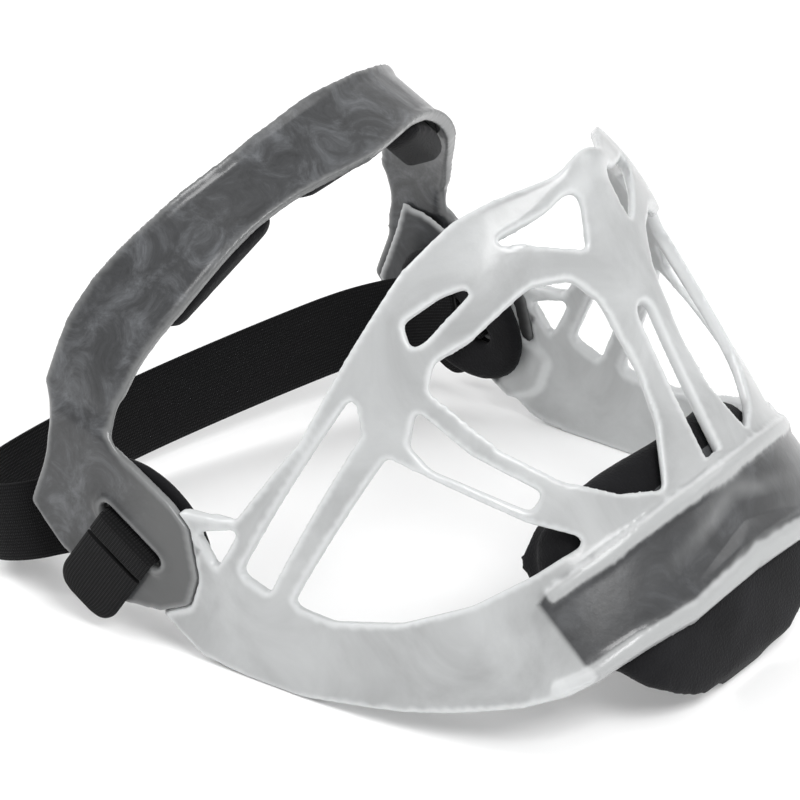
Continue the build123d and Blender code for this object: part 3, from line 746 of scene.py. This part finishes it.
# Points around a ribbon, the powers of its width and thickness, and the share of width that a round end loses
RIBBON_AROUND = 28
WIDTH_POWER, THICKNESS_POWER = 0.35, 0.8
ROUND_LOSS = 0.45


def smooth_line(points, count):
    """Points at even steps of a quadratic B-spline that starts and ends on the first and last points.

    Each corner of the route is rounded by the parabola between the middles of its two runs.
    """
    points = np.asarray(points, dtype=float)
    middles = 0.5 * (points[1:] + points[:-1])
    bends = []
    ends = np.vstack((points[:1], middles[1:-1], points[-1:]))
    corners = points[1:-1]
    t = np.linspace(0.0, 1.0, BEND_POINTS, endpoint=False)[:, None]
    for first, corner, last in zip(ends[:-1], corners, ends[1:]):
        bends.append((1 - t) ** 2 * first + 2 * t * (1 - t) * corner + t ** 2 * last)
    dense = np.vstack(bends + [points[-1:]])
    lengths = np.concatenate(([0.0], np.cumsum(np.linalg.norm(np.diff(dense, axis=0), axis=1))))
    wanted = np.linspace(0.0, lengths[-1], count)
    return np.stack([np.interp(wanted, lengths, dense[:, axis]) for axis in range(dense.shape[1])], axis=-1)


def ribbon(name, centres, across, width, thickness, round_end=0.0):
    """A flat strap along a centre line.

    The section is a superellipse: half the width times sign(cos) |cos| ^ power across, and half the thickness
    times sign(sin) |sin| ^ power through. The faces come out flat and the edges rolled. A round end narrows
    along a quarter circle. The UV map counts millimetres along and across.
    """
    count = len(centres)
    around = RIBBON_AROUND
    along = np.gradient(centres, axis=0)
    along /= np.linalg.norm(along, axis=1)[:, None]
    across = across - (across * along).sum(axis=1)[:, None] * along
    across /= np.linalg.norm(across, axis=1)[:, None]
    normal = np.cross(along, across)
    turn = np.linspace(0.0, 2 * np.pi, around, endpoint=False)
    side = np.sign(np.cos(turn)) * np.abs(np.cos(turn)) ** WIDTH_POWER * 0.5 * width
    through = np.sign(np.sin(turn)) * np.abs(np.sin(turn)) ** THICKNESS_POWER * 0.5 * thickness
    travel = np.concatenate(([0.0], np.cumsum(np.linalg.norm(np.diff(centres, axis=0), axis=1))))
    narrow = np.ones(count)
    if round_end:
        left = share(travel[-1] - travel, 0.0, round_end)
        narrow = 1.0 - ROUND_LOSS * (1.0 - np.sqrt(1.0 - (1.0 - left) ** 2))
    grid = (
        centres[:, None, :]
        + across[:, None, :] * (side[None, :] * narrow[:, None])[:, :, None]
        + normal[:, None, :] * through[None, :, None]
    )
    points = grid.reshape(-1, 3)
    row = np.arange(count - 1)[:, None] * around
    a = row + np.arange(around)[None, :]
    b = row + (np.arange(around)[None, :] + 1) % around
    quads = np.stack((a, b, b + around, a + around), axis=-1).reshape(-1, 4)
    caps = [tuple(range(around))[::-1], tuple(range((count - 1) * around, count * around))]
    piece = mesh_object(name, points, list(map(tuple, quads)) + caps)
    layer = piece.data.uv_layers.new(name="weave")
    loops = np.empty(len(piece.data.loops), dtype=int)
    piece.data.loops.foreach_get("vertex_index", loops)
    u = np.repeat(travel, around) / MM
    v = np.tile(side, count) / MM
    layer.data.foreach_set("uv", np.stack((u[loops], v[loops]), axis=-1).reshape(-1))
    outward(piece)
    return piece


def outward(piece):
    """Turns every face of a closed mesh to point outwards."""
    made = bmesh.new()
    made.from_mesh(piece.data)
    bmesh.ops.recalc_face_normals(made, faces=made.faces)
    made.to_mesh(piece.data)
    made.free()


def finish_piece(piece, material, body, nodes):
    """Gives a piece its material and its body, and hides the CAD nodes that it stands for."""
    piece.data.materials.clear()
    piece.data.materials.append(material)
    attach(piece, body)
    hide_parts(*nodes)


# Operators

# Smoothing passes and rings of rim on the plastic pieces, and the band's faces as a share of the frame's
FRAME_PASSES, FRAME_RINGS = 9, 4
BAND_PASSES, BAND_RINGS = 12, 6
BAND_FINER = 0.7
# Size of the faces and smoothing passes of the pads, and of the chin cushion's second remesh
PAD_FACE, PAD_PASSES = 0.0012, 8
CUSHION_FACE, CUSHION_PASSES = 0.0016, 24
FOAM_PADS = (
    "forehead_pad_centre", "forehead_pad_right", "forehead_pad_left",
    "temple_pad_right", "temple_pad_left", "chin_pad",
)


class FACEGUARD_OT_frame(bpy.types.Operator):
    """Make the clear moulded frame from its CAD solid, with rounded edges"""

    bl_idname = "faceguard.frame"
    bl_label = "Clear Frame"

    def execute(self, context):
        settings = context.scene.face_guard_frame
        piece = moulded(copy_of("face_frame", "clear_frame"), settings.voxel, FRAME_PASSES)
        mark_rims(piece, frame_value, FRAME_RINGS)
        ease_front(piece)
        mark_backed(piece)
        skin = clear_plastic("frosted_clear", tuple(settings.clear), tuple(settings.smoke), settings.frost)
        finish_piece(piece, skin, "guard", ["face_frame"])
        return {"FINISHED"}


class FACEGUARD_OT_band(bpy.types.Operator):
    """Make the smoke forehead band from its CAD solid, with rounded edges"""

    bl_idname = "faceguard.band"
    bl_label = "Forehead Band"

    def execute(self, context):
        settings = context.scene.face_guard_frame
        piece = moulded(copy_of("forehead_band", "smoke_band"), BAND_FINER * settings.voxel, BAND_PASSES)
        ease_band(piece)
        mark_rims(piece, band_value, BAND_RINGS, ribs=False)
        mark_lobe(piece)
        skin = smoke_plastic("smoke", tuple(settings.smoke), tuple(settings.clear))
        finish_piece(piece, skin, "guard", ["forehead_band"])
        return {"FINISHED"}


class FACEGUARD_OT_pads(bpy.types.Operator):
    """Make the foam pads, with rolled edges and a crowned face"""

    bl_idname = "faceguard.pads"
    bl_label = "Foam Pads"

    def execute(self, context):
        settings = context.scene.face_guard_soft
        skin = foam("foam_skin", tuple(settings.foam))
        for node in FOAM_PADS:
            piece = moulded(copy_of(node, node.replace("_pad", "_cushion")), PAD_FACE, PAD_PASSES)
            if node == "chin_pad":
                swell_cup(piece)
                piece = moulded(piece, CUSHION_FACE, CUSHION_PASSES)
            finish_piece(piece, skin, "guard", [node])
        return {"FINISHED"}


class FACEGUARD_OT_patches(bpy.types.Operator):
    """Finish the hook-and-loop patches and the chin liner on their CAD meshes"""

    bl_idname = "faceguard.patches"
    bl_label = "Patches"

    def execute(self, context):
        settings = context.scene.face_guard_soft
        hooks = foam("hook_patch", tuple(settings.foam))
        liner = foam("chin_liner", tuple(settings.liner))
        for node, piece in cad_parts.items():
            if "patch" in node and node != "chin_patch":
                for slot in piece.material_slots:
                    slot.material = hooks
        piece = copy_of("chin_patch", "chin_liner")
        trim_liner(piece)
        finish_piece(piece, liner, "guard", ["chin_patch"])
        return {"FINISHED"}


class FACEGUARD_OT_strap(bpy.types.Operator):
    """Make the woven elastic strap, its end loops and its hook tabs"""

    bl_idname = "faceguard.strap"
    bl_label = "Back Strap"

    def execute(self, context):
        settings = context.scene.face_guard_soft
        weave = webbing("woven_elastic", tuple(settings.strap))
        route = smooth_line(STRAP_ROUTE * (STRAP_SIDE, STRAP_BACK), BACK_POINTS)
        back = np.array((0.0, math.cos(STRAP_SLOPE), -math.sin(STRAP_SLOPE)))
        upright = np.array((0.0, math.sin(STRAP_SLOPE), math.cos(STRAP_SLOPE)))
        centres = SWING_POINT + route[:, :1] * np.array((1.0, 0.0, 0.0)) + route[:, 1:] * back
        travel = np.linspace(0.0, 1.0, len(centres))
        mix = share(np.minimum(travel, 1.0 - travel), TWIST_SHARE, 0.0) ** TWIST_POWER
        across = upright * (1.0 - mix)[:, None] + SLOT_LONG * mix[:, None]
        piece = ribbon("back_strap", centres, across, BACK_WIDTH, STRAP_THICKNESS)
        finish_piece(piece, weave, "strap", ["strap_back"])
        for side, word in ((-1, "right"), (1, "left")):
            for kind, body, corners, count, round_end in (
                ("loop_", "guard", LOOP_ROUTE, LOOP_POINTS, 0.0),
                ("tab_", "tab_" + word, TAB_ROUTE, TAB_POINTS, TAB_ROUND),
            ):
                path = smooth_line(corners, count)
                centres = SWING_POINT + path[:, :1] * SLOT_ACROSS + path[:, 1:] * np.array((side, 0.0, 0.0))
                across = np.tile(SLOT_LONG, (len(centres), 1))
                piece = ribbon(kind + word, centres, across, STRAP_WIDTH, STRAP_THICKNESS, round_end)
                finish_piece(piece, weave, body, ["strap_" + kind + word])
        return {"FINISHED"}


# Half the floor's side, and the point that the lights are aimed at
FLOOR_HALF = 6.0
LIGHT_TARGET = np.array((0.0, 0.0, 0.07))
# Each light's name, place, size in metres and power in watts
LIGHTS = (
    ("key", (-0.5, -1.1, 1.5), 0.8, 20.0),
    ("fill", (0.9, -1.0, 0.9), 0.9, 5.0),
    ("rim", (-0.4, 1.3, 1.1), 0.7, 12.0),
)
# The camera's sensor in millimetres
SENSOR_WIDTH = 36.0
# The picture's middle, right of and over the slot line's middle, as shares of the view width
VIEW_RIGHT, VIEW_UP = 65.0 / 800.0, 52.5 / 800.0


class FACEGUARD_OT_stage(bpy.types.Operator):
    """Set the pale floor, the soft studio lights and the camera"""

    bl_idname = "faceguard.stage"
    bl_label = "Stage"

    def execute(self, context):
        settings = context.scene.face_guard_studio
        corners = FLOOR_HALF * np.array((
            (-1.0, -1.0, 0.0), (1.0, -1.0, 0.0), (1.0, 1.0, 0.0), (-1.0, 1.0, 0.0),
        ))
        floor = mesh_object("floor", corners, [(0, 1, 2, 3)], smooth=False)
        made, _, shader = new_material("pale_floor")
        shader.inputs["Base Color"].default_value = (0.93, 0.93, 0.93, 1.0)
        shader.inputs["Roughness"].default_value = 0.9
        floor.data.materials.append(made)
        world = bpy.data.worlds.new("studio")
        context.scene.world = world
        world.use_nodes = True
        world.node_tree.nodes["Background"].inputs["Color"].default_value = (1.0, 1.0, 1.0, 1.0)
        world.node_tree.nodes["Background"].inputs["Strength"].default_value = 0.72
        context.scene.view_settings.view_transform = "Standard"
        for name, place, size, power in LIGHTS:
            lamp = bpy.data.lights.new(name, "AREA")
            lamp.size = size
            lamp.energy = power
            holder = bpy.data.objects.new(name, lamp)
            context.scene.collection.objects.link(holder)
            holder.location = place
            holder.rotation_euler = aim_at(LIGHT_TARGET - np.array(place))
        camera = bpy.data.cameras.new("camera")
        holder = bpy.data.objects.new("camera", camera)
        context.scene.collection.objects.link(holder)
        level, turn = settings.elevation, settings.azimuth
        ahead = np.array((-math.sin(turn), math.cos(turn), 0.0))
        look = math.cos(level) * ahead - math.sin(level) * np.array((0.0, 0.0, 1.0))
        right = np.array((math.cos(turn), math.sin(turn), 0.0))
        up = np.cross(right, look)
        target = SLOT_LINE + settings.width * (VIEW_RIGHT * right + VIEW_UP * up)
        holder.location = target - look * settings.distance
        holder.rotation_euler = aim_at(look)
        camera.sensor_width = SENSOR_WIDTH
        camera.lens = SENSOR_WIDTH * settings.distance / settings.width
        camera.clip_start = 0.05
        camera.clip_end = 50.0
        context.scene.camera = holder
        return {"FINISHED"}


def aim_at(direction):
    """Euler angles that point an object's -Z along a direction with its Y upwards."""
    return Vector(direction).to_track_quat("-Z", "Y").to_euler()


class FACEGUARD_PT_panel(bpy.types.Panel):
    """The guard's pieces and their settings."""

    bl_idname = "FACEGUARD_PT_panel"
    bl_label = "Face Guard"
    bl_space_type = "VIEW_3D"
    bl_region_type = "UI"
    bl_category = "Face Guard"

    def draw(self, context):
        for kind in OPERATORS:
            self.layout.operator(kind.bl_idname)
        for group in ("face_guard_frame", "face_guard_soft", "face_guard_studio"):
            settings = getattr(context.scene, group)
            for key in settings.bl_rna.properties.keys():
                if key not in ("rna_type", "name"):
                    self.layout.prop(settings, key)


OPERATORS = (
    FACEGUARD_OT_stage,
    FACEGUARD_OT_frame,
    FACEGUARD_OT_band,
    FACEGUARD_OT_pads,
    FACEGUARD_OT_patches,
    FACEGUARD_OT_strap,
)
GROUPS = (
    ("face_guard_frame", FaceGuardFrame),
    ("face_guard_soft", FaceGuardSoft),
    ("face_guard_studio", FaceGuardStudio),
)


def register():
    for name, group in GROUPS:
        bpy.utils.register_class(group)
        setattr(bpy.types.Scene, name, bpy.props.PointerProperty(type=group))
    for kind in OPERATORS + (FACEGUARD_PT_panel,):
        bpy.utils.register_class(kind)


def unregister():
    for kind in (FACEGUARD_PT_panel,) + OPERATORS[::-1]:
        bpy.utils.unregister_class(kind)
    for name, group in GROUPS:
        delattr(bpy.types.Scene, name)
        bpy.utils.unregister_class(group)


def main():
    register()
    bpy.ops.faceguard.stage()
    bpy.ops.faceguard.frame()
    bpy.ops.faceguard.band()
    bpy.ops.faceguard.pads()
    bpy.ops.faceguard.patches()
    bpy.ops.faceguard.strap()


if __name__ == "__main__":
    main()
